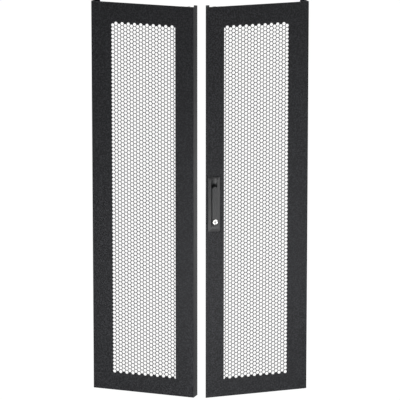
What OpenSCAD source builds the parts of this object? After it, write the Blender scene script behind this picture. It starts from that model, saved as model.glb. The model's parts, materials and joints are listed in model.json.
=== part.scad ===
// Split perforated door for a free-standing equipment rack.
// Two hinged leaves: the left one plain, the right one with a swing handle that drives two lock rods.
// Every leaf is drawn shut and then swung about its own hinge axis to its stored angle.
// X runs across the door, Y from its front to its back, Z up. The leaves are drawn from the meeting
// line, the left leaf's front and the leaves' lower edges. The whole door is then moved so that its
// origin is the middle of the lower left bracket's screw holes, on the bracket's back face.

/* [Door] */
// Height of both leaves
door_h = 1250; // [900:1:1500]
// Width of the left leaf
left_w = 340; // [260:1:420]
// Width of the right leaf with its lip
right_w = 340; // [260:1:420]
// Depth of a leaf over its folded edges
leaf_depth = 35; // [30:0.5:45]
// Thickness of the sheet steel
sheet = 1.5; // [1:0.1:2]
// Gap between the two leaves' edge channels when both are shut
meeting_gap = 3; // [2:0.1:6]
// How far the right leaf's face laps over the left leaf
lip = 12; // [8:0.5:16]
// How far the right leaf stands in front of the left leaf
leaf_step = 2.2; // [2:0.1:4]
// Angle at which the leaves are stored open
open_angle = 20; // [0:1:60]

/* [Perforation] */
// Hexagonal hole across its flats
hole_af = 21; // [12:0.5:21]
// Distance between neighbouring hole centres
hole_pitch = 24; // [23:0.5:40]
// Solid border above the holes
border_top = 62; // [45:1:90]
// Solid border below the holes
border_bottom = 57; // [45:1:90]
// Solid border beside the holes on the hinge side
border_hinge = 66; // [45:1:90]
// Solid border beside the holes on the meeting side
border_meeting = 60; // [55:1:90]

/* [Edge channels] */
// Front flange of a hinge-side channel
hinge_flange = 22; // [18:1:40]
// Rear flange of a hinge-side channel
hinge_rear = 16; // [8:1:18]
// Front flange of a meeting-side channel
meeting_flange = 42; // [36:1:50]
// Rear flange of a meeting-side channel
meeting_rear = 11; // [6:1:16]
// Depth of the top and bottom channels
cross_depth = 22; // [12:1:26]
// Front flange of the top and bottom channels
cross_flange = 24; // [14:1:40]
// How far the top and bottom channels sit in from the ends of a leaf
cross_inset = 4; // [2:0.5:10]

/* [Hinges] */
// Radius of a hinge pin
hinge_pin_r = 3; // [2:0.1:4]
// Running clearance round a hinge pin
hinge_fit = 0.05; // [0.02:0.01:0.1]
// Hinge axis in from the outer edge of a leaf
hinge_in = 10; // [9:0.5:14]
// Hinge axis behind the front of the left leaf
hinge_back = 10.5; // [10:0.5:14]
// Outer radius of a knuckle
knuckle_r = 6.5; // [5:0.1:7]
// Length of a knuckle
knuckle_l = 30; // [15:1:50]
// Hinge brackets in from the ends of a leaf
hinge_end = 150; // [90:1:300]
// Thickness of a bracket's arm
arm_t = 4; // [3:0.5:6]
// Width of a bracket's arm
arm_w = 10; // [9:0.5:12]
// Thickness of the washer under a knuckle
washer_t = 1; // [0.5:0.1:2]
// Thickness of a bracket's base plate
base_t = 3; // [2:0.5:5]
// Height of a bracket's base plate
base_h = 64; // [50:1:90]
// Screw holes of a bracket, centre to centre
base_pitch = 44; // [30:1:60]
// Radius of a bracket's screw holes
base_hole_r = 2.75; // [2:0.05:3.5]
// Space between the shut leaves and the brackets' base plates
rear_gap = 4; // [2:0.5:10]

/* [Flush bolts] */
// Radius of a flush bolt
bolt_r = 4; // [3:0.1:5]
// Length of a flush bolt
bolt_l = 130; // [110:1:200]
// Slide clearance round a bolt
bolt_fit = 0.05; // [0.02:0.01:0.1]
// Bolt centre in from the meeting edge of the left leaf
bolt_in = 20; // [15:0.5:30]
// Bolt centre behind the front of the left leaf
bolt_back = 14; // [12:0.5:17]
// How far a drawn bolt's tip stays inside the end of the leaf
bolt_inset = 1; // [0.5:0.5:4]

/* [Handle dish] */
// Width of the dish
dish_w = 39; // [36:0.5:44]
// Height of the dish
dish_h = 174; // [150:1:200]
// Corner radius of the dish
dish_corner = 4; // [2:0.5:8]
// Upright rim of the dish
dish_rim = 1.6; // [1:0.1:2.5]
// Full height of the dish above its gasket
dish_crown = 3.4; // [2.6:0.1:5]
// Width of the dish's sloping border
dish_bevel = 8.6; // [5:0.1:10]
// Centre of the handle in from the lip's edge
handle_in = 26; // [25:0.5:28]
// Lower end of the dish above the lower end of the leaf
dish_z = 539; // [300:1:700]
// Thickness of the gasket under the dish
gasket_t = 1; // [0.5:0.1:2]
// Height of the finger scoop above the lever's tip
scoop_h = 29; // [20:1:36]
// Depth of the finger scoop behind the front of the leaf
scoop_depth = 7; // [5:0.5:8]

/* [Lever and lock] */
// Width of the lever
lever_w = 16.6; // [14:0.1:19]
// Thickness of the lever
lever_t = 6; // [5:0.1:8]
// Edge bevel of the lever
lever_bevel = 1; // [0.4:0.1:1.5]
// Air gap between the lever and the dish
lever_gap = 0.4; // [0.3:0.1:1]
// Radius of the lever's pin
lever_pin_r = 1.5; // [1:0.1:2]
// Running clearance round the lever's pin
lever_pin_fit = 0.04; // [0.02:0.01:0.1]
// Width of the lever's tongue between the spindle's ears
tongue_w = 8; // [6:0.1:9]
// Side clearance of the tongue
tongue_fit = 0.3; // [0.2:0.05:0.5]
// Lock centre above the lower end of the dish
lock_z = 32.6; // [26:0.1:40]
// Radius of the lock's face
lock_r = 7.8; // [6.5:0.1:8]
// How far the lock's face stands in front of the lever
lock_proud = 4; // [1:0.1:6]
// Radius of the lock's plug
plug_r = 4.6; // [3.5:0.1:5]
// Running clearance round the plug
plug_fit = 0.04; // [0.02:0.01:0.1]
// Wall of the pocket under the lever
pocket_wall = 1.5; // [1:0.1:2]

/* [Lock rods] */
// Throw radius of the crank's pins
crank_r = 7; // [5:0.1:8]
// Radius of a crank pin
crank_pin_r = 2; // [1.5:0.1:2.5]
// Clearance above and below a crank pin in its slot
slot_fit = 0.5; // [0.4:0.05:0.8]
// Width of a rod
rod_w = 9.8; // [9:0.1:12]
// Thickness of a rod
rod_t = 3; // [2:0.1:4]
// How far an extended rod's tip stays inside the end of the leaf
rod_inset = 1; // [0.5:0.5:4]
// Clearance round a rod in its guides
rod_fit = 0.3; // [0.2:0.05:0.6]
// Swing of the handle from shut to open
swing = 90; // [60:1:90]

/* [Small parts] */
// Radius of an earth stud
stud_r = 3; // [2:0.1:4]
// Length of an earth stud
stud_l = 14; // [8:1:20]
// Radius of a rubber buffer
buffer_r = 4; // [3:0.1:6]
// Height of a rubber buffer
buffer_h = 2.5; // [1:0.1:3.5]

/* [Hidden] */
$fn = 48;
steel = [0.23, 0.24, 0.26];
zinc = [0.75, 0.76, 0.78];
nylon = [0.12, 0.12, 0.13];
cast = [0.2, 0.21, 0.22];
eps = 0.01;
cut = 1;

// Leaves, shut: meeting edges and outer edges
left_meet = -meeting_gap/2;
left_outer = left_meet - left_w;
right_meet = meeting_gap/2;
right_lip = right_meet - lip;
right_outer = right_lip + right_w;
right_front = -leaf_step;
leaf_back = leaf_depth;

// Hinge axes, shared by the pins, knuckles, brackets and joints
hinge_y = hinge_back;
left_axis = left_outer + hinge_in;
right_axis = right_outer - hinge_in;
knuckle_fit = 0.2;
pin_seat = 0.02;
hinge_levels = [hinge_end, door_h - hinge_end - knuckle_l];
base_y = leaf_back + rear_gap;
base_hole_in = 10;
arm_reach = 20;
// Top of the bracket arm that carries the knuckle starting at z
function arm_top(z) = z - washer_t - knuckle_fit;

// Perforation
hole_r = hole_af/sqrt(3);
column_step = hole_pitch*sqrt(3)/2;
field_bottom = border_bottom;
field_top = door_h - border_top;

// Handle
handle_x = right_lip + handle_in;
lock_height = dish_z + lock_z;
pin_drop = lock_r + lever_pin_r + 2.1;
pin_height = lock_height - pin_drop;
spindle_drop = 6.5;
spindle_height = lock_height - spindle_drop;
dish_back = right_front - gasket_t;
dish_front = dish_back - dish_crown;
lever_back = dish_front - lever_gap;
lever_front = lever_back - lever_t;
lever_top = dish_z + dish_h - scoop_h;
pin_y = lever_back - lever_t/2;
head_r = 11.7;
head_sink = 2;
shank_r = 6;
shank_fit = 0.05;
boss_r = 10;
boss_fit = 0.5;
scoop_wall = 1.4;
scoop_w = 25;
screw_r = 2.5;
screw_low = dish_z + 9;
screw_high = dish_z + dish_h - scoop_h - 22;
plate_t = 2;

// Mechanism behind the right leaf, front to back
flange_back = right_front + 2*sheet;
plate_back = flange_back + plate_t;
crank_front = plate_back + 3;
crank_t = 3;
crank_back = crank_front + crank_t;
rod_front = crank_back + 0.5;
rod_back = rod_front + rod_t;
drive = 8;
rod_side = 1.1;
rod_x = rod_side + rod_w/2;
crank_half = crank_r*sin(swing/2);
crank_side = crank_r*cos(swing/2);
slot_end = 0.3;
slot_half = crank_pin_r + slot_fit;

// ---------- placing ----------

// Moves the door to its origin
module rack() {
    translate([-left_axis - base_hole_in, -base_y - base_t, -arm_top(hinge_levels[0])]) children();
}

// Swings a shut left leaf to its stored angle
module left_leaf() {
    rack() translate([left_axis, hinge_y, 0]) rotate([0, 0, -open_angle])
        translate([-left_axis, -hinge_y, 0]) children();
}

// Swings a shut right leaf to its stored angle
module right_leaf() {
    rack() translate([right_axis, hinge_y, 0]) rotate([0, 0, open_angle])
        translate([-right_axis, -hinge_y, 0]) children();
}

// A box from one corner to the opposite one
module box(low, high) {
    translate(low) cube(high - low);
}

// A round bar along Y
module bar_y(x, z, y_from, y_to, r) {
    translate([x, y_from, z]) rotate([-90, 0, 0]) cylinder(r = r, h = y_to - y_from);
}

// A flat shape drawn in X and Z, thickened from y_from to y_to
module slab(y_from, y_to) {
    translate([0, y_to, 0]) rotate([90, 0, 0]) linear_extrude(y_to - y_from) children();
}

// ---------- sheet metal ----------

// Hexagonal holes in staggered columns, starting at the hinge side (x = 0) and cut off straight
// at the meeting side
module holes(field_w) {
    columns = ceil((field_w - hole_r)/column_step);
    rows = floor((field_top - field_bottom - hole_af - hole_pitch/2)/hole_pitch) + 1;
    run = (rows - 0.5)*hole_pitch;
    first = (field_top + field_bottom - run)/2;
    intersection() {
        translate([0, field_bottom]) square([field_w, field_top - field_bottom]);
        for (c = [0 : columns], r = [0 : rows - 1])
            translate([hole_r + c*column_step, first + (r + (c % 2)/2)*hole_pitch]) circle(hole_r, $fn = 6);
    }
}

// Flat punched face, its hinge side at x = 0 and its meeting side at x = w
module face_outline(w) {
    difference() {
        square([w, door_h]);
        translate([border_hinge, 0]) holes(w - border_hinge - border_meeting);
    }
}

// Upright edge channel: web at x = 0, flanges towards +X
module channel_section(front_y, front_w, rear_w) {
    inner = front_y + 2*sheet;
    back = front_y + leaf_depth;
    polygon([[0, front_y + sheet], [front_w, front_y + sheet], [front_w, inner], [sheet, inner],
        [sheet, back - sheet], [rear_w, back - sheet], [rear_w, back], [0, back]]);
}

// Slots through which the bracket arms reach in
module arm_slots(axis_x, outer_x) {
    side = sign(axis_x - outer_x);
    for (z = hinge_levels)
        translate([outer_x, 0, arm_top(z) - arm_t - pin_head_t - 1])
            scale([side, 1, 1]) box([-cut, hinge_y - arm_w/2 - 1, 0],
                [hinge_rear + cut, leaf_back + cut, arm_t + pin_head_t + 2]);
}

// Channel across the end of a leaf, between x_from and x_to, seen at its lower end
module cross_channel(front_y, x_from, x_to, flange_from, flange_to) {
    box([x_from, front_y + 2*sheet, cross_inset], [x_to, front_y + cross_depth, cross_inset + sheet]);
    box([flange_from, front_y + sheet, cross_inset], [flange_to, front_y + 2*sheet, cross_inset + cross_flange]);
    box([x_from, front_y + cross_depth - sheet, cross_inset],
        [x_to, front_y + cross_depth, cross_inset + cross_flange/2]);
}

// Turns a lower end piece into the matching upper one
module at_top() {
    translate([0, 0, door_h]) mirror([0, 0, 1]) children();
}

// Knuckle welded to the back of a hinge channel's front flange
module knuckles(axis_x, flange_y) {
    for (z = hinge_levels) translate([axis_x, 0, z])
        difference() {
            union() {
                translate([0, hinge_y, 0]) cylinder(r = knuckle_r, h = knuckle_l);
                box([-knuckle_r, flange_y, 0], [knuckle_r, hinge_y, knuckle_l]);
            }
            translate([0, hinge_y, -cut]) cylinder(r = hinge_pin_r + hinge_fit, h = knuckle_l + 2*cut);
        }
}

// ---------- left leaf ----------

module left_face() color(steel) left_leaf()
    slab(0, sheet) translate([left_outer, 0]) face_outline(left_w);

module left_hinge_channel() color(steel) left_leaf() difference() {
    translate([left_outer, 0, 0]) linear_extrude(door_h) channel_section(0, hinge_flange, hinge_rear);
    arm_slots(left_axis, left_outer);
}

module left_meeting_channel() color(steel) left_leaf()
    translate([left_meet, 0, 0]) mirror([1, 0, 0]) linear_extrude(door_h)
        channel_section(0, meeting_flange, meeting_rear);

module left_cross_channel() difference() {
    cross_channel(0, left_outer + sheet, left_meet - sheet, left_outer + hinge_flange,
        left_meet - meeting_flange);
    translate([left_meet - bolt_in, bolt_back, 0]) cylinder(r = bolt_r + 0.5, h = cross_inset + sheet + cut);
}

module left_top_channel() color(steel) left_leaf() at_top() left_cross_channel();

module left_bottom_channel() color(steel) left_leaf() left_cross_channel();

module left_knuckles() color(steel) left_leaf() knuckles(left_axis, 2*sheet);

// Guides of the flush bolts: two lugs each, welded behind the meeting channel's front flange
guide_t = 6;
guide_low = 36;
guide_high = 96;
module bolt_guide_pair() {
    for (z = [guide_low, guide_high]) difference() {
        union() {
            translate([left_meet - bolt_in, bolt_back, z]) cylinder(r = bolt_r + 3, h = guide_t);
            box([left_meet - bolt_in - bolt_r - 3, 2*sheet, z], [left_meet - bolt_in + bolt_r + 3, bolt_back, z + guide_t]);
        }
        translate([left_meet - bolt_in, bolt_back, z - cut])
            cylinder(r = bolt_r + bolt_fit, h = guide_t + 2*cut);
    }
}

module left_bolt_guides() color(zinc) left_leaf() {
    bolt_guide_pair();
    at_top() bolt_guide_pair();
}

// Flush bolt with a round knob towards the back, seen at the lower end
knob_z = 70;
knob_neck = 13;
knob_l = 5;
module flush_bolt() {
    translate([left_meet - bolt_in, bolt_back, bolt_inset]) cylinder(r = bolt_r, h = bolt_l);
    bar_y(left_meet - bolt_in, knob_z, bolt_back, bolt_back + knob_neck, 2.5);
    bar_y(left_meet - bolt_in, knob_z, bolt_back + knob_neck, bolt_back + knob_neck + knob_l, 5);
}

module left_upper_bolt() color(zinc) left_leaf() at_top() flush_bolt();

module left_lower_bolt() color(zinc) left_leaf() flush_bolt();

// Welded stud with a flange, on the inner side of the lower border
module earth_stud(x, y) {
    bar_y(x, border_bottom - 12, y, y + stud_l, stud_r);
    bar_y(x, border_bottom - 12, y, y + 1, stud_r + 1.5);
}

module left_earth_stud() color(zinc) left_leaf() earth_stud(left_outer + border_hinge, sheet);

// Rubber buffers on a hinge channel's rear flange
module buffers(x, back) {
    for (z = [60, door_h/2, door_h - 60]) bar_y(x, z, back, back + buffer_h, buffer_r);
}

module left_buffers() color(nylon) left_leaf() buffers(left_outer + hinge_rear/2, leaf_back);

// ---------- right leaf ----------

module right_face() color(steel) right_leaf() difference() {
    slab(right_front, right_front + sheet)
        translate([right_outer, 0]) mirror([1, 0]) face_outline(right_w);
    handle_cutouts();
}

module right_hinge_channel() color(steel) right_leaf() difference() {
    translate([right_outer, 0, 0]) mirror([1, 0, 0]) linear_extrude(door_h)
        channel_section(right_front, hinge_flange, hinge_rear);
    arm_slots(right_axis, right_outer);
}

module right_meeting_channel() color(steel) right_leaf() difference() {
    translate([right_meet, 0, 0]) linear_extrude(door_h)
        channel_section(right_front, meeting_flange, meeting_rear);
    handle_cutouts();
}

// A hole for a rod's tip through a cross channel
module rod_slot(x) {
    box([x - rod_w/2 - rod_fit, rod_front - rod_fit, 0], [x + rod_w/2 + rod_fit, rod_back + rod_fit, cross_inset + sheet + cut]);
}

module right_cross_channel(rod_at) difference() {
    cross_channel(right_front, right_meet + sheet, right_outer - sheet, right_meet + meeting_flange,
        right_outer - hinge_flange);
    rod_slot(rod_at);
}

module right_top_channel() color(steel) right_leaf() at_top() right_cross_channel(handle_x + rod_x);

module right_bottom_channel() color(steel) right_leaf() right_cross_channel(handle_x - rod_x);

module right_knuckles() color(steel) right_leaf() knuckles(right_axis, right_front + 2*sheet);

// Nylon guide round a rod, fixed behind the meeting channel's front flange
guide_wall = 1.4;
module rod_guide(x, z) {
    difference() {
        box([x - rod_w/2 - guide_wall, flange_back, z], [x + rod_w/2 + guide_wall, rod_back + 3, z + 14]);
        box([x - rod_w/2 - rod_fit, rod_front - rod_fit, z - cut],
            [x + rod_w/2 + rod_fit, rod_back + rod_fit, z + 14 + cut]);
    }
}

module right_rod_guides() color(nylon) right_leaf() {
    for (z = [dish_z + dish_h + 40, door_h - border_top - 50]) rod_guide(handle_x + rod_x, z);
    for (z = [border_bottom + 40, dish_z - 60]) rod_guide(handle_x - rod_x, z);
}

module right_earth_stud() color(zinc) right_leaf()
    earth_stud(right_outer - border_hinge, right_front + sheet);

module right_buffers() color(nylon) right_leaf()
    buffers(right_outer - hinge_rear/2, right_front + leaf_depth);

// ---------- handle ----------

// What the handle needs cut through the face and the flange behind it
module handle_cutouts() {
    through = right_front + 2*sheet + cut;
    bar_y(handle_x, spindle_height, right_front - cut, through, boss_r + boss_fit);
    box([handle_x - scoop_w/2 - boss_fit, right_front - cut, lever_top - 8 - boss_fit],
        [handle_x + scoop_w/2 + boss_fit, through, dish_z + dish_h - 8 + boss_fit]);
    for (z = [screw_low, screw_high]) bar_y(handle_x, z, right_front - cut, through, screw_r + 0.3);
}

// Rounded rectangle of the dish, shrunk all round by inset
module dish_outline(inset) {
    r = dish_corner;
    translate([handle_x, dish_z]) intersection() {
        translate([-dish_w/2 + inset, inset]) square([dish_w - 2*inset, dish_h - 2*inset]);
        union() {
            translate([-dish_w/2 + r, 0]) square([dish_w - 2*r, dish_h]);
            translate([-dish_w/2, r]) square([dish_w, dish_h - 2*r]);
            for (x = [-dish_w/2 + r, dish_w/2 - r], z = [r, dish_h - r]) translate([x, z]) circle(r);
        }
    }
}

// Roof over the dish: four slopes up to a flat crown
module dish_roof() {
    rise = dish_crown - dish_rim;
    intersection() {
        translate([handle_x, dish_back, dish_z]) linear_extrude(dish_h)
            polygon([[-dish_w/2, 0], [dish_w/2, 0], [dish_w/2, -dish_rim], [dish_w/2 - dish_bevel, -dish_crown],
                [-dish_w/2 + dish_bevel, -dish_crown], [-dish_w/2, -dish_rim]]);
        translate([handle_x + dish_w/2, dish_back, dish_z]) rotate([0, -90, 0]) linear_extrude(dish_w)
            polygon([[0, 0], [dish_h, 0], [dish_h, -dish_rim], [dish_h - dish_bevel, -dish_rim - rise],
                [dish_bevel, -dish_rim - rise], [0, -dish_rim]]);
        slab(dish_front, dish_back) dish_outline(0);
    }
}

// Funnel for the finger: narrow and deep behind the lever's tip, wide and shallow at the top
module scoop_cut() {
    low = lever_top - 6;
    run = dish_z + dish_h - low;
    tip_r = lever_w/2;
    mouth_r = dish_w/2 - 2;
    fall = right_front + scoop_depth - dish_front - 1.6;
    lean = atan((fall + mouth_r - tip_r)/run);
    translate([handle_x, right_front + scoop_depth - tip_r/cos(lean), low]) rotate([lean, 0, 0])
        cylinder(r1 = tip_r, r2 = mouth_r, h = run/cos(lean));
}

module dish() color(cast) right_leaf() difference() {
    union() {
        dish_roof();
        bar_y(handle_x, spindle_height, dish_back - eps, plate_back, boss_r);
        box([handle_x - scoop_w/2, dish_back - eps, lever_top - 8],
            [handle_x + scoop_w/2, right_front + scoop_depth + scoop_wall, dish_z + dish_h - 8]);
    }
    scoop_cut();
    bar_y(handle_x, spindle_height, dish_front - cut, dish_front + head_sink, head_r + 0.3);
    bar_y(handle_x, spindle_height, dish_front - cut, plate_back + cut, shank_r + shank_fit);
    for (z = [screw_low, screw_high]) bar_y(handle_x, z, dish_front + 1.2, dish_back + cut, screw_r + 0.02);
}

module dish_gasket() color(nylon) right_leaf() difference() {
    slab(dish_back, right_front) dish_outline(0.4);
    handle_cutouts();
}

// Plate behind the flange that the handle's screws draw up against
module latch_plate() color(zinc) right_leaf() difference() {
    box([handle_x - 11, flange_back, dish_z + 2], [handle_x + 11, plate_back, lever_top - 12]);
    bar_y(handle_x, spindle_height, flange_back - cut, plate_back + cut, boss_r + 0.2);
    for (z = [screw_low, screw_high]) bar_y(handle_x, z, flange_back - cut, plate_back + cut, screw_r + 0.3);
}

module handle_screws() color(zinc) right_leaf() for (z = [screw_low, screw_high]) {
    bar_y(handle_x, z, dish_front + 1.4, plate_back, screw_r);
    difference() {
        bar_y(handle_x, z, plate_back, plate_back + 2.6, screw_r + 2);
        translate([handle_x, plate_back + 1.1, z]) rotate([-90, 0, 0]) cylinder(r = 2, h = 3, $fn = 6);
    }
}

// Turning head with the two ears that carry the lever's pin, its round shank and square end
ear_w = (lever_w - tongue_w)/2 - tongue_fit;
ear_r = lever_t/2;
module spindle() color(cast) right_leaf() difference() {
    union() {
        bar_y(handle_x, spindle_height, dish_front, dish_front + head_sink - 0.1, head_r);
        bar_y(handle_x, spindle_height, dish_front + eps, crank_front - 0.2, shank_r);
        translate([handle_x - drive/2, crank_front - 0.3, spindle_height - drive/2])
            cube([drive, crank_t + 0.3, drive]);
        for (side = [-1, 1]) translate([handle_x + side*(lever_w/2 - ear_w/2), 0, 0]) {
            translate([-ear_w/2, pin_y, pin_height]) rotate([0, 90, 0]) cylinder(r = ear_r, h = ear_w);
            box([-ear_w/2, pin_y, pin_height - ear_r], [ear_w/2, dish_front + eps, pin_height + ear_r]);
        }
        lock_hook();
    }
    translate([handle_x - lever_w, pin_y, pin_height]) rotate([0, 90, 0])
        cylinder(r = lever_pin_r + lever_pin_fit, h = 2*lever_w);
    bar_y(handle_x, spindle_height, crank_back - 8, crank_back + cut, 1.52);
}

// Hook on the head: the lock's tongue turns under its overhang and holds the lever down
cam_t = 1.3;
cam_gap = 0.4;
hook_reach = lever_w/2 - pocket_wall - 0.6;
module lock_hook() {
    under = dish_front - 2*cam_gap - cam_t - lever_gap;
    box([handle_x + hook_reach - 1, under - cam_t, lock_height - 2],
        [handle_x + hook_reach, dish_front + eps, lock_height + 2]);
    box([handle_x + hook_reach - 3, under - cam_t, lock_height - 2],
        [handle_x + hook_reach, under, lock_height + 2]);
}

module crank() color(zinc) right_leaf() {
    difference() {
        bar_y(handle_x, spindle_height, crank_front, crank_back, crank_r + crank_pin_r + 1.2);
        translate([handle_x - drive/2 - 0.05, crank_front - cut, spindle_height - drive/2 - 0.05])
            cube([drive + 0.1, crank_t + 2*cut, drive + 0.1]);
    }
    for (side = [-1, 1])
        bar_y(handle_x + side*crank_side, spindle_height + side*crank_half, crank_back - eps,
            rod_back + 0.8, crank_pin_r);
}

// Countersunk screw that holds the crank on the square
module crank_screw() color(zinc) right_leaf() {
    bar_y(handle_x, spindle_height, crank_back - 7.5, crank_back, 1.5);
    bar_y(handle_x, spindle_height, crank_back, crank_back + 0.4, 3);
}

// Lever seen from the front: rounded tip above, narrow tongue below
module lever_outline(inset) {
    half = lever_w/2 - inset;
    shoulder = pin_height + ear_r + tongue_fit + inset;
    translate([handle_x, 0]) {
        translate([-half, shoulder]) square([2*half, lever_top - lever_w/2 - shoulder]);
        translate([0, lever_top - lever_w/2]) circle(half);
    }
}

module lever() color(cast) right_leaf() difference() {
    union() {
        slab(lever_front + lever_bevel, lever_back) lever_outline(0);
        hull() {
            slab(lever_front + lever_bevel, lever_front + lever_bevel + 0.1) lever_outline(0, $fn = 32);
            slab(lever_front, lever_front + 0.1) lever_outline(lever_bevel, $fn = 32);
        }
        translate([handle_x - tongue_w/2, pin_y, pin_height]) rotate([0, 90, 0])
            cylinder(r = lever_t/2 - 0.2, h = tongue_w);
        box([handle_x - tongue_w/2, lever_front + 0.2, pin_height],
            [handle_x + tongue_w/2, lever_back - 0.2, pin_height + ear_r + 1]);
    }
    translate([handle_x - lever_w, pin_y, pin_height]) rotate([0, 90, 0])
        cylinder(r = lever_pin_r + lever_pin_fit, h = 2*lever_w);
    lock_pocket();
    bar_y(handle_x, lock_height, lever_front - cut, lever_back, lock_r - 2 + 0.05);
}

// Pocket under the lever in which the lock's tongue turns over the hook
module lock_pocket() {
    half = lever_w/2 - pocket_wall;
    box([handle_x - half, lever_front + 2.1, lock_height - 6.4],
        [handle_x + half, lever_back + cut, lock_height + 9]);
}

module lever_pin() color(zinc) right_leaf()
    translate([handle_x - lever_w/2, pin_y, pin_height]) rotate([0, 90, 0])
        cylinder(r = lever_pin_r, h = lever_w);

// Round lock: a collar in front of the lever and a sleeve through its wall
module lock_barrel() color(zinc) right_leaf() difference() {
    union() {
        bar_y(handle_x, lock_height, lever_front - lock_proud, lever_front, lock_r);
        bar_y(handle_x, lock_height, lever_front - eps, lever_front + 2.1, lock_r - 2);
    }
    bar_y(handle_x, lock_height, lever_front - lock_proud - cut, lever_back, plug_r + plug_fit);
}

// Turning plug with its keyway in front, a thin stem and its tongue behind
stem_r = 2.5;
module lock_plug() color(zinc) right_leaf() difference() {
    union() {
        bar_y(handle_x, lock_height, lever_front - lock_proud + 0.4, lever_back - cam_gap - eps, stem_r);
        bar_y(handle_x, lock_height, lever_front - lock_proud + 0.4, lever_front + 2.1, plug_r);
        box([handle_x - 1.5, lever_back - cam_gap - cam_t, lock_height],
            [handle_x + 1.5, lever_back - cam_gap, lock_height + hook_reach - 1.6]);
    }
    box([handle_x - 0.7, lever_front - lock_proud - cut, lock_height - 3.2],
        [handle_x + 0.7, lever_front - lock_proud + 5, lock_height + 3.2]);
}

// ---------- lock rods ----------

// Rod from the crank to the end of the leaf; up = 1 for the upper rod, -1 for the lower one
module lock_rod(up, tip) {
    pin_z = spindle_height + up*crank_half;
    near = pin_z - up*(slot_half + 2.2);
    z_low = min(near, tip);
    z_high = max(near, tip);
    x_in = handle_x + up*rod_side;
    x_out = handle_x + up*(rod_side + rod_w);
    difference() {
        box([min(x_in, x_out), rod_front, z_low], [max(x_in, x_out), rod_back, z_high]);
        box([handle_x + (up > 0 ? crank_side : -crank_r) - crank_pin_r - slot_end, rod_front - cut,
            pin_z - slot_half],
            [handle_x + (up > 0 ? crank_r : -crank_side) + crank_pin_r + slot_end, rod_back + cut,
            pin_z + slot_half]);
    }
}

module upper_rod() color(zinc) right_leaf() lock_rod(1, door_h - rod_inset);

module lower_rod() color(zinc) right_leaf() lock_rod(-1, rod_inset);

// ---------- hinge brackets on the rack ----------

// Bracket, pin and washer of one hinge, with the leaf's body towards +X from the axis
module bracket(level) {
    top = arm_top(hinge_levels[level]);
    difference() {
        union() {
            translate([0, hinge_y, top - arm_t]) cylinder(r = arm_w/2, h = arm_t);
            box([0, hinge_y - arm_w/2, top - arm_t], [arm_reach, hinge_y + arm_w/2, top]);
            box([arm_reach - arm_w, hinge_y, top - arm_t], [arm_reach, base_y, top]);
            box([2 - hinge_in, base_y, top - base_h/2], [arm_reach + 8, base_y + base_t, top + base_h/2]);
        }
        translate([0, hinge_y, top - arm_t - cut]) cylinder(r = hinge_pin_r + pin_seat, h = arm_t + 2*cut);
        for (dz = [-base_pitch/2, base_pitch/2])
            bar_y(base_hole_in, top + dz, base_y - cut, base_y + base_t + cut, base_hole_r);
    }
}

module at_left() {
    rack() translate([left_axis, 0, 0]) children();
}

module at_right() {
    rack() translate([right_axis, 0, 0]) mirror([1, 0, 0]) children();
}

module left_lower_bracket() color(zinc) at_left() bracket(0);
module left_upper_bracket() color(zinc) at_left() bracket(1);
module right_lower_bracket() color(zinc) at_right() bracket(0);
module right_upper_bracket() color(zinc) at_right() bracket(1);

// Headed pins pressed up through the brackets' arms
pin_head_t = 2;
module hinge_pins() color(zinc) rack() for (x = [left_axis, right_axis], z = hinge_levels)
    translate([x, hinge_y, arm_top(z) - arm_t - pin_head_t]) {
        cylinder(r = hinge_pin_r + 1.5, h = pin_head_t);
        cylinder(r = hinge_pin_r, h = pin_head_t + arm_t + washer_t + knuckle_fit + knuckle_l - 1);
    }

module hinge_washers() color(nylon) rack() for (x = [left_axis, right_axis], z = hinge_levels)
    translate([x, hinge_y, arm_top(z)]) difference() {
        cylinder(r = knuckle_r - 0.5, h = washer_t);
        translate([0, 0, -cut]) cylinder(r = hinge_pin_r + 0.1, h = washer_t + 2*cut);
    }

// ---------- nodes ----------

left_face();
left_hinge_channel();
left_meeting_channel();
left_top_channel();
left_bottom_channel();
left_knuckles();
left_bolt_guides();
left_upper_bolt();
left_lower_bolt();
left_earth_stud();
left_buffers();
right_face();
right_hinge_channel();
right_meeting_channel();
right_top_channel();
right_bottom_channel();
right_knuckles();
right_rod_guides();
right_earth_stud();
right_buffers();
dish();
dish_gasket();
latch_plate();
handle_screws();
spindle();
crank();
crank_screw();
lever();
lever_pin();
lock_barrel();
lock_plug();
upper_rod();
lower_rod();
left_upper_bracket();
left_lower_bracket();
right_upper_bracket();
right_lower_bracket();
hinge_pins();
hinge_washers();
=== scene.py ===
"""Looks of the perforated rack door: fine punched faces, materials, light and camera."""
import json
import math

import bmesh
import bpy
from mathutils import Matrix, Vector


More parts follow.
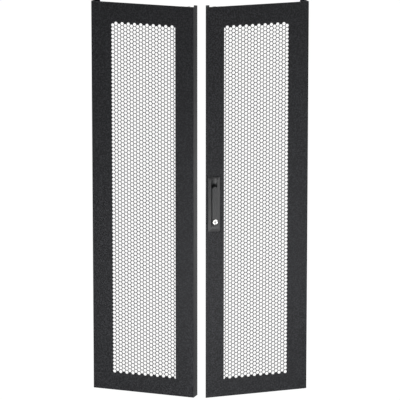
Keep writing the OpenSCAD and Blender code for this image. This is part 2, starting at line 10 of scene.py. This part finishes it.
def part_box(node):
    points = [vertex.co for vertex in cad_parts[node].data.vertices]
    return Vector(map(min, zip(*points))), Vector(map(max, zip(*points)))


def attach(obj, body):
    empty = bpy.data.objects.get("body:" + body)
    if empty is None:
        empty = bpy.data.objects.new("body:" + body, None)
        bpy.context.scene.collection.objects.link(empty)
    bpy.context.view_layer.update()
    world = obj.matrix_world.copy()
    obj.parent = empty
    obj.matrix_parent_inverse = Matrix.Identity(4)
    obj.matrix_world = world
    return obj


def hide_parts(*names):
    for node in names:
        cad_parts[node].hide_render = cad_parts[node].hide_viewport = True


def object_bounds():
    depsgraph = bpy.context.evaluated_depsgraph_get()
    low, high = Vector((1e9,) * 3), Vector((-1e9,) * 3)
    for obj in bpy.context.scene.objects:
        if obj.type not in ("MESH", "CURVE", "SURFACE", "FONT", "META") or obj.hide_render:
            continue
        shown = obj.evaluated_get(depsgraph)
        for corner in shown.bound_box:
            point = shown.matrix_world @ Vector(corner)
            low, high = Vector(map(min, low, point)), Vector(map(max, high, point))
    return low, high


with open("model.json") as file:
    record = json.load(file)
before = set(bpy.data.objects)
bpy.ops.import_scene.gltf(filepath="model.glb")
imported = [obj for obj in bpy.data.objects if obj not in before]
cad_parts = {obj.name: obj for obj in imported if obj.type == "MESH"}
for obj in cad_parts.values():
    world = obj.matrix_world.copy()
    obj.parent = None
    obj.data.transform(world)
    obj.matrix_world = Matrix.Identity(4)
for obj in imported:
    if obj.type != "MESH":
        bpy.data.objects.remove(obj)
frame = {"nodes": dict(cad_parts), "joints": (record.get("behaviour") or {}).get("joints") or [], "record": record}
cad_low, cad_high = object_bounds()
joints = {joint["name"]: joint for joint in frame["joints"]}
MM = 0.001

# ---------- materials ----------

# Most noise values lie between these two
NOISE_LOW = 0.3
NOISE_HIGH = 0.7
# Noise values where the broad patches are fully dark and fully light
PATCH_DARK = 0.35
PATCH_LIGHT = 0.65
# The principled shader's own specular level
PLAIN_SPECULAR = 0.5


def add_node(tree, kind, values=None):
    """A new node with the given input values."""
    node = tree.nodes.new(kind)
    for socket, value in (values or {}).items():
        node.inputs[socket].default_value = value
    return node


def new_material(name, color, roughness, metallic=0.0, specular=PLAIN_SPECULAR):
    """A principled material, its node tree and its shader; color is linear RGB."""
    mat = bpy.data.materials.new(name)
    mat.use_nodes = True
    shader = mat.node_tree.nodes["Principled BSDF"]
    shader.inputs["Base Color"].default_value = (*color, 1)
    shader.inputs["Roughness"].default_value = roughness
    shader.inputs["Metallic"].default_value = metallic
    shader.inputs["Specular IOR Level"].default_value = specular
    return mat, mat.node_tree, shader


def texture(tree, kind, values):
    """A texture node that is fixed to the piece."""
    node = add_node(tree, kind, values)
    place = tree.nodes.new("ShaderNodeTexCoord").outputs["Object"]
    tree.links.new(place, node.inputs["Vector"])
    return node


def noise(tree, scale, detail):
    """Noise with features of about 1/scale metres."""
    return texture(tree, "ShaderNodeTexNoise", {"Scale": scale, "Detail": detail})


def ramp(tree, source, dark, light, start, end):
    """Colour that goes from dark to light as a noise value goes from start to end."""
    node = tree.nodes.new("ShaderNodeValToRGB")
    for stop, place, color in zip(node.color_ramp.elements, (start, end), (dark, light)):
        stop.position = place
        stop.color = (*color, 1)
    tree.links.new(source.outputs["Fac"], node.inputs["Fac"])
    return node.outputs["Color"]


def spread(tree, source, low, high):
    """Maps a noise value to low..high."""
    node = add_node(tree, "ShaderNodeMapRange", {"From Min": NOISE_LOW, "From Max": NOISE_HIGH,
                                                 "To Min": low, "To Max": high})
    tree.links.new(source.outputs["Fac"], node.inputs["Value"])
    return node.outputs["Result"]


def bump(tree, height, strength, depth, under=None):
    """The surface normal raised by height, over the bump given as under."""
    node = add_node(tree, "ShaderNodeBump", {"Strength": strength, "Distance": depth})
    tree.links.new(height, node.inputs["Height"])
    if under:
        tree.links.new(under, node.inputs["Normal"])
    return node.outputs["Normal"]


def finish_material(name, dark, light, rough, grain, strength, depth, metallic=0.0,
                    specular=PLAIN_SPECULAR, patch=14.0):
    """Colour varies in broad patches and roughness in fine grain, which also raises the surface.

    patch and grain are noise scales; rough is the range of the roughness.
    """
    mat, tree, shader = new_material(name, dark, rough[0], metallic, specular)
    broad = noise(tree, patch, detail=3.0)
    tree.links.new(ramp(tree, broad, dark, light, PATCH_DARK, PATCH_LIGHT), shader.inputs["Base Color"])
    fine = noise(tree, grain, detail=2.0)
    tree.links.new(spread(tree, fine, *rough), shader.inputs["Roughness"])
    tree.links.new(bump(tree, fine.outputs["Fac"], strength, depth), shader.inputs["Normal"])
    return mat


def powder_coat():
    """Fine textured powder coat: small crowded grains, a few of them catching the light."""
    dark = (0.0030, 0.0032, 0.0042)
    light = (0.0180, 0.0186, 0.0208)
    mat, tree, shader = new_material("powder_coat", dark, roughness=0.5, specular=0.14)
    fine = noise(tree, scale=240.0, detail=3.0)
    grains = texture(tree, "ShaderNodeTexVoronoi", {"Scale": 620.0})
    tree.links.new(ramp(tree, fine, dark, light, start=0.44, end=0.62), shader.inputs["Base Color"])
    tree.links.new(spread(tree, fine, low=0.42, high=0.6), shader.inputs["Roughness"])
    orange_peel = bump(tree, fine.outputs["Fac"], strength=0.5, depth=0.0009)
    grainy = bump(tree, grains.outputs["Distance"], strength=0.25, depth=0.0003, under=orange_peel)
    tree.links.new(grainy, shader.inputs["Normal"])
    return mat


coat = powder_coat()
# The lock plug alone gets a darker copy of the lock's nickel
nickel_plug = finish_material(
    "darker_nickel", dark=(0.13, 0.13, 0.125), light=(0.24, 0.235, 0.23), rough=(0.3, 0.45),
    grain=2600.0, strength=0.15, depth=0.0001, metallic=1.0, patch=400.0)
SLOT_MATERIALS = {
    "powder_coat": coat,
    "plated_steel": finish_material(
        "zinc_plate", dark=(0.34, 0.36, 0.38), light=(0.46, 0.47, 0.46), rough=(0.26, 0.42),
        grain=420.0, strength=0.08, depth=0.0002, metallic=1.0, patch=60.0),
    "painted_zinc": finish_material(
        "satin_casting", dark=(0.0085, 0.0088, 0.0096), light=(0.0115, 0.0118, 0.0126), rough=(0.34, 0.42),
        grain=1500.0, strength=0.12, depth=0.0001, specular=0.3, patch=40.0),
    "lock_metal": finish_material(
        "nickel", dark=(0.30, 0.30, 0.29), light=(0.42, 0.41, 0.40), rough=(0.16, 0.30),
        grain=1800.0, strength=0.1, depth=0.0001, metallic=1.0, patch=120.0),
    "nylon": finish_material(
        "nylon", dark=(0.020, 0.020, 0.021), light=(0.028, 0.028, 0.029), rough=(0.5, 0.62),
        grain=700.0, strength=0.1, depth=0.0002),
    "rubber": finish_material(
        "rubber", dark=(0.012, 0.012, 0.012), light=(0.018, 0.018, 0.018), rough=(0.7, 0.85),
        grain=900.0, strength=0.2, depth=0.0002),
}
slot_of = {row["node"]: row["material_slot"] for row in frame["record"]["subparts"]}
for name, node in frame["nodes"].items():
    node.data.materials.clear()
    node.data.materials.append(nickel_plug if name == "lock_plug" else SLOT_MATERIALS[slot_of[name]])

# ---------- punched faces ----------

# A leaf's width and the thickness of its face
LEAF_W = 340 * MM
SHEET = 1.5 * MM
# Hexagonal holes: centre to centre in a column, across the flats, centre to corner, and holes in a column
PITCH = 12 * MM
HOLE_FLATS = 10.2 * MM
HOLE_R = HOLE_FLATS / math.sqrt(3)
ROWS = 94
# Distance between two columns
COLUMN_STEP = PITCH * math.sqrt(3) / 2
# Solid borders beside the holes, and the middle of the columns above the leaf's lower edge
BORDER_HINGE = 66 * MM
BORDER_MEETING = 60 * MM
FIELD_MIDDLE = 622.5 * MM
# Hinge axis inside the leaf's edge and behind the left leaf's front
HINGE_IN = 10 * MM
HINGE_BACK = 10.5 * MM
# The right leaf's front is farther forward of its hinge axis by this much
RIGHT_STEP = 2.2 * MM
# Middle of the handle from the meeting edge
HANDLE_IN = 26 * MM
# Round cut-out for the spindle's boss
BOSS_R = 10.5 * MM
BOSS_POINTS = 40
# Scoop cut-out: half its width, how far it ends below the tops of lever and dish, and room at each end
SCOOP_HALF = 13 * MM
SCOOP_DROP = 8 * MM
SCOOP_ROOM = 0.5 * MM
# Points of a sheet's outline closer than this, in metres, are one point
WELD = 1e-6


def ring(x, z, r, count):
    """Points evenly round a circle; six of them are a hexagon's corners."""
    return [(x + r * math.cos(2 * math.pi * k / count), z + r * math.sin(2 * math.pi * k / count))
            for k in range(count)]


def rectangle(x0, z0, x1, z1):
    """The corners of a rectangle."""
    return [(x0, z0), (x1, z0), (x1, z1), (x0, z1)]


def clipped(points, limit):
    """The part of a convex outline with x up to limit."""
    kept = []
    for a, b in zip(points, points[1:] + points[:1]):
        if a[0] <= limit:
            kept.append(a)
        if (a[0] <= limit) != (b[0] <= limit):
            share = (limit - a[0]) / (b[0] - a[0])
            kept.append((limit, a[1] + share * (b[1] - a[1])))
    return kept


def hexagons():
    """Holes in staggered columns, x from the hinge-side edge, the last column cut straight."""
    first_x = BORDER_HINGE + HOLE_R
    first_z = FIELD_MIDDLE - (ROWS - 0.5) * PITCH / 2
    limit = LEAF_W - BORDER_MEETING
    for column in range(math.ceil((limit - first_x) / COLUMN_STEP)):
        for row in range(ROWS):
            z = first_z + (row + (column % 2) / 2) * PITCH
            yield clipped(ring(first_x + column * COLUMN_STEP, z, HOLE_R, 6), limit)


def sheet_mesh(name, loops):
    """A sheet with holes, lying in XY, its thickness along Z and centred on it."""
    curve = bpy.data.curves.new(name + "_outline", "CURVE")
    curve.dimensions = "2D"
    curve.fill_mode = "BOTH"
    curve.extrude = SHEET / 2
    for loop in loops:
        spline = curve.splines.new("POLY")
        spline.points.add(len(loop) - 1)
        for point, (x, y) in zip(spline.points, loop):
            point.co = (x, y, 0, 1)
        spline.use_cyclic_u = True
    holder = bpy.data.objects.new(name + "_outline", curve)
    bpy.context.collection.objects.link(holder)
    bpy.context.view_layer.update()
    mesh = bpy.data.meshes.new_from_object(holder.evaluated_get(bpy.context.evaluated_depsgraph_get()))
    bpy.data.objects.remove(holder)
    work = bmesh.new()
    work.from_mesh(mesh)
    bmesh.ops.remove_doubles(work, verts=work.verts, dist=WELD)
    bmesh.ops.recalc_face_normals(work, faces=work.faces)
    work.to_mesh(mesh)
    work.free()
    for polygon in mesh.polygons:
        polygon.use_smooth = False
    return mesh


def punched_face(name, node, joint_name, side, step, cutouts):
    """The face that stands for node, at the leaf's stored angle.

    side is 1 where the leaf runs towards +X from its hinge, -1 where it runs towards -X.
    step is how much farther forward its front is than the left leaf's.
    """
    low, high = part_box(node)
    mesh = sheet_mesh(name, [rectangle(0, 0, LEAF_W, high[2] - low[2]), *hexagons(), *cutouts])
    joint = joints[joint_name]
    axis = Vector(joint["pos_m"])
    # The joint's range starts where the leaf is shut
    opened = math.radians(-joint["range_deg"][0])
    # Stands the sheet up as the shut leaf, with its hinge axis at the origin
    shut = Matrix(((side, 0, 0, -side * HINGE_IN), (0, 0, -1, -HINGE_BACK - step + SHEET / 2),
                   (0, 1, 0, 0), (0, 0, 0, 1)))
    place = Matrix.Translation((axis.x, axis.y, low[2])) @ Matrix.Rotation(-side * opened, 4, "Z") @ shut
    mesh.transform(place)
    if place.determinant() < 0:
        mesh.flip_normals()
    piece = bpy.data.objects.new(name, mesh)
    bpy.context.collection.objects.link(piece)
    mesh.materials.clear()
    mesh.materials.append(coat)
    return piece


left = punched_face("left_punched_face", "left_face", "left_leaf_hinge", 1, 0.0, [])
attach(left, "left_leaf")
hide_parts("left_face")

# Heights above the right leaf's lower edge
leaf_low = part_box("right_face")[0][2]
spindle_z = joints["handle_swing"]["pos_m"][2] - leaf_low
lever_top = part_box("lever")[1][2] - leaf_low
dish_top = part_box("dish")[1][2] - leaf_low
handle_x = LEAF_W - HANDLE_IN
handle_cutouts = [ring(handle_x, spindle_z, BOSS_R, BOSS_POINTS),
                  rectangle(handle_x - SCOOP_HALF, lever_top - SCOOP_DROP - SCOOP_ROOM,
                            handle_x + SCOOP_HALF, dish_top - SCOOP_DROP + SCOOP_ROOM)]
right = punched_face("right_punched_face", "right_face", "right_leaf_hinge", -1, RIGHT_STEP, handle_cutouts)
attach(right, "right_leaf")
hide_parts("right_face")

# ---------- floor and world ----------

WHITE = (1, 1, 1, 1)
FLOOR_PAINT = (0.86, 0.86, 0.86, 1)
# Floor: how far below the door, the length of a side, and its middle along X
FLOOR_DROP = 60 * MM
FLOOR_SIZE = 30.0
FLOOR_MIDDLE_X = 0.3
# White light of the floor on direct rays, and its share beside the paint, which keeps the shadow
FLOOR_GLOW = 1.13
FLOOR_GLOW_SHARE = 0.85
# What the world gives to all other rays
AMBIENT = (0.97, 0.98, 1, 1)
AMBIENT_STRENGTH = 0.4


def direct_ray(tree):
    """1 on camera, mirror and transmission rays, 0 on the rest."""
    path = tree.nodes.new("ShaderNodeLightPath")
    level = path.outputs["Is Camera Ray"]
    for ray in ("Is Glossy Ray", "Is Transmission Ray"):
        larger = tree.nodes.new("ShaderNodeMath")
        larger.operation = "MAXIMUM"
        tree.links.new(level, larger.inputs[0])
        tree.links.new(path.outputs[ray], larger.inputs[1])
        level = larger.outputs[0]
    return level


def mixed(tree, share, first, second, out):
    """Joins two shaders and sends them to the output; share is how much of the second is seen."""
    mix = tree.nodes.new("ShaderNodeMixShader")
    tree.links.new(share, mix.inputs["Fac"])
    tree.links.new(first.outputs[0], mix.inputs[1])
    tree.links.new(second.outputs[0], mix.inputs[2])
    tree.links.new(mix.outputs[0], out.inputs["Surface"])


def floor_material():
    """Pale matt paint that looks nearly white on direct rays."""
    mat = bpy.data.materials.new("pale_floor")
    mat.use_nodes = True
    tree = mat.node_tree
    tree.nodes.clear()
    out = tree.nodes.new("ShaderNodeOutputMaterial")
    paint = add_node(tree, "ShaderNodeBsdfDiffuse", {"Color": FLOOR_PAINT})
    glow = add_node(tree, "ShaderNodeEmission", {"Color": WHITE, "Strength": FLOOR_GLOW})
    share = add_node(tree, "ShaderNodeMath", {1: FLOOR_GLOW_SHARE})
    share.operation = "MULTIPLY"
    tree.links.new(direct_ray(tree), share.inputs[0])
    mixed(tree, share.outputs[0], paint, glow, out)
    return mat


def studio_world():
    """White on direct rays, soft ambient light on the rest."""
    world = bpy.data.worlds.new("studio")
    world.use_nodes = True
    tree = world.node_tree
    tree.nodes.clear()
    out = tree.nodes.new("ShaderNodeOutputWorld")
    seen = add_node(tree, "ShaderNodeBackground", {"Color": WHITE})
    ambient = add_node(tree, "ShaderNodeBackground", {"Color": AMBIENT, "Strength": AMBIENT_STRENGTH})
    mixed(tree, direct_ray(tree), ambient, seen, out)
    return world


half = FLOOR_SIZE / 2
floor_mesh = bpy.data.meshes.new("floor")
floor_mesh.from_pydata([(-half, -half, 0), (half, -half, 0), (half, half, 0), (-half, half, 0)], [],
                       [(0, 1, 2, 3)])
floor_mesh.materials.append(floor_material())
floor = bpy.data.objects.new("floor", floor_mesh)
bpy.context.collection.objects.link(floor)
floor.location = (FLOOR_MIDDLE_X, 0, cad_low.z - FLOOR_DROP)
bpy.context.scene.world = studio_world()

# ---------- lights and camera ----------

middle = (cad_low + cad_high) / 2
# Middle of the door's lower end
foot = Vector((middle.x, middle.y, cad_low.z))

CAMERA_PLACE = (0.42220, -11.10116, 2.99546)
# Radians the camera looks down, and turns to its left
CAMERA_DOWN = 0.22482
CAMERA_LEFT = 0.00961
# Millimetres
LENS = 324
SENSOR_WIDTH = 36
# Metres that the camera sees between
CLIP_NEAR = 0.1
CLIP_FAR = 200


def softbox(name, place, aim, width, height, power):
    """A rectangular lamp at place that faces aim; metres and watts."""
    lamp = bpy.data.lights.new(name, "AREA")
    lamp.shape = "RECTANGLE"
    lamp.size = width
    lamp.size_y = height
    lamp.energy = power
    holder = bpy.data.objects.new(name, lamp)
    bpy.context.collection.objects.link(holder)
    holder.location = place
    holder.rotation_mode = "QUATERNION"
    holder.rotation_quaternion = (aim - place).to_track_quat("-Z", "Y")


softbox("key", middle + Vector((-1.6, -3.0, 0.6)), middle, width=2.0, height=1.4, power=8)
softbox("low_front", foot + Vector((0, -1.15, -0.03)), foot + Vector((0, 0, 0.3)),
        width=2.4, height=0.4, power=44)
softbox("right_side", foot + Vector((1.9, -1.1, 0.1)), foot + Vector((0, 0, 0.5)),
        width=0.7, height=1.0, power=15)
softbox("back_right", foot + Vector((1.6, 1.4, 0.1)), foot + Vector((0, 0, 0.1)),
        width=0.9, height=0.5, power=5)

cam = bpy.data.cameras.new("camera")
cam.sensor_width = SENSOR_WIDTH
cam.lens = LENS
cam.clip_start = CLIP_NEAR
cam.clip_end = CLIP_FAR
cam_object = bpy.data.objects.new("camera", cam)
bpy.context.collection.objects.link(cam_object)
cam_object.location = CAMERA_PLACE
cam_object.rotation_euler = (math.pi / 2 - CAMERA_DOWN, 0, CAMERA_LEFT)
bpy.context.scene.camera = cam_object
bpy.context.scene.view_settings.view_transform = "Standard"
